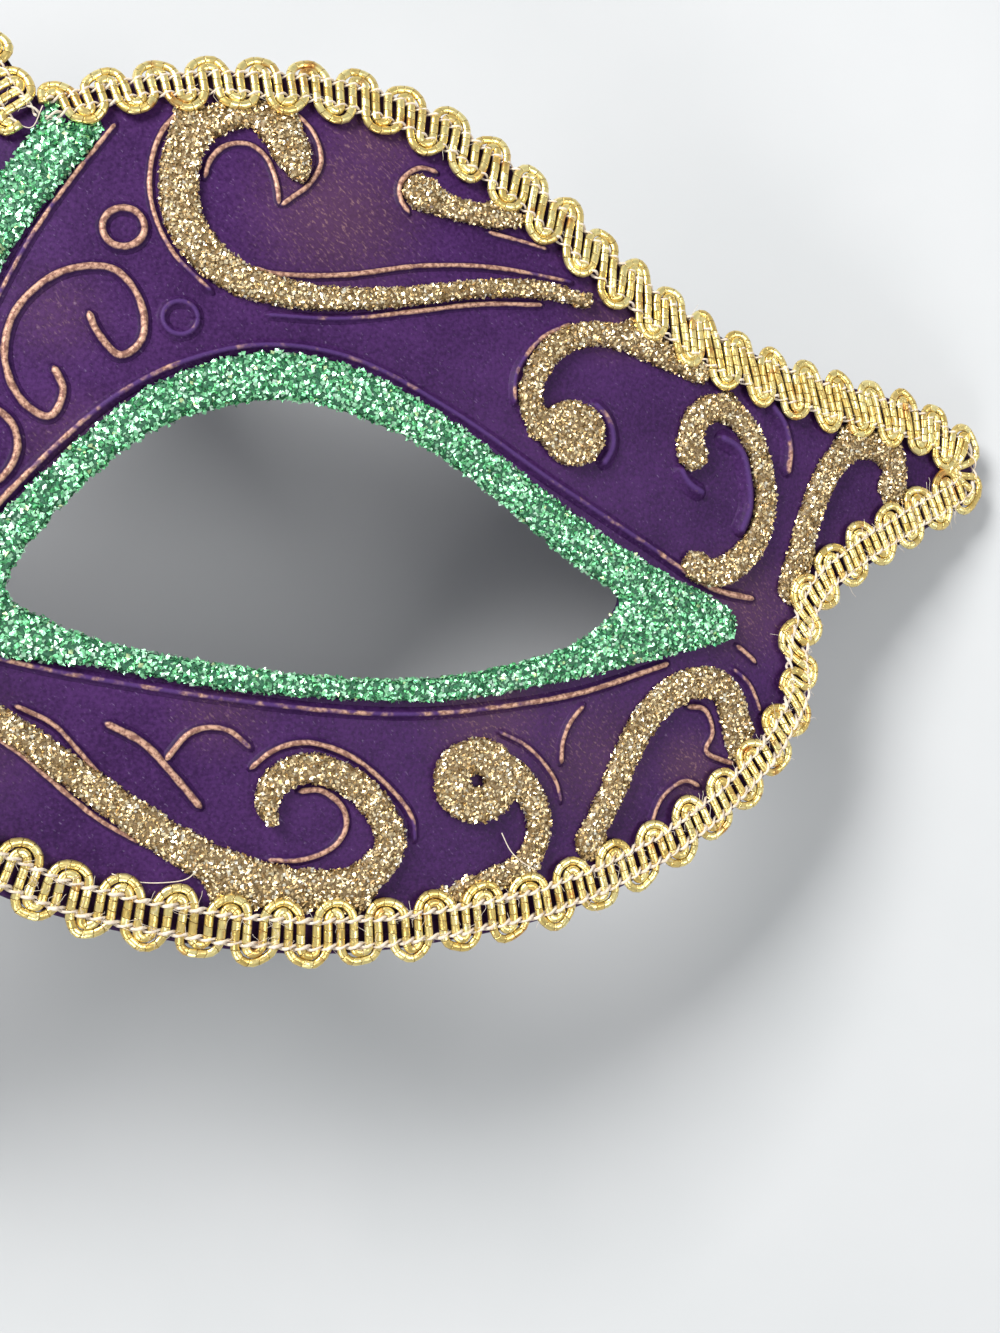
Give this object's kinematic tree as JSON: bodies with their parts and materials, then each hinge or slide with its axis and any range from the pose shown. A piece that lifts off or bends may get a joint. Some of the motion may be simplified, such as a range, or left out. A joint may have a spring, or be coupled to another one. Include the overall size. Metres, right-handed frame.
{
  "type": "masquerade mask on stick",
  "caption": "Cat's-eye half mask with glitter scrolls, glitter eye rims and a gold braid edge, glued to a straight hand stick.",
  "frame": {"origin": "on the table, under the middle of the whole object's box", "axes": "+X to the viewer's right across the face, +Y up the face and along the stick, +Z out of the face, away from the table"},
  "size_m": [0.225, 0.3138, 0.0554],
  "materials": {
    "purple_shell": "matte purple paint with copper rubbed on the raised lines",
    "gold_glitter": "coarse gold glitter in glue",
    "green_glitter": "coarse green glitter in glue",
    "gold_braid": "metallic gold gimp braid",
    "stick": "gold paint over a plain dowel"
  },
  "bodies": {
    "root": {"mask_shell": "purple_shell", "stick": "stick", "top_scroll_right": "gold_glitter", "top_scroll_left": "gold_glitter", "brow_comma_right": "gold_glitter", "brow_comma_left": "gold_glitter", "temple_hook_right": "gold_glitter", "temple_hook_left": "gold_glitter", "temple_c_right": "gold_glitter", "temple_c_left": "gold_glitter", "wing_hook_right": "gold_glitter", "wing_hook_left": "gold_glitter", "cheek_spiral_right": "gold_glitter", "cheek_spiral_left": "gold_glitter", "cheek_nine_right": "gold_glitter", "cheek_nine_left": "gold_glitter", "cheek_hook_right": "gold_glitter", "cheek_hook_left": "gold_glitter", "eye_rim_right": "green_glitter", "eye_rim_left": "green_glitter", "brow_band": "green_glitter", "trim_crest": "gold_braid", "trim_right": "gold_braid", "trim_left": "gold_braid"}
  },
  "joints": []
}
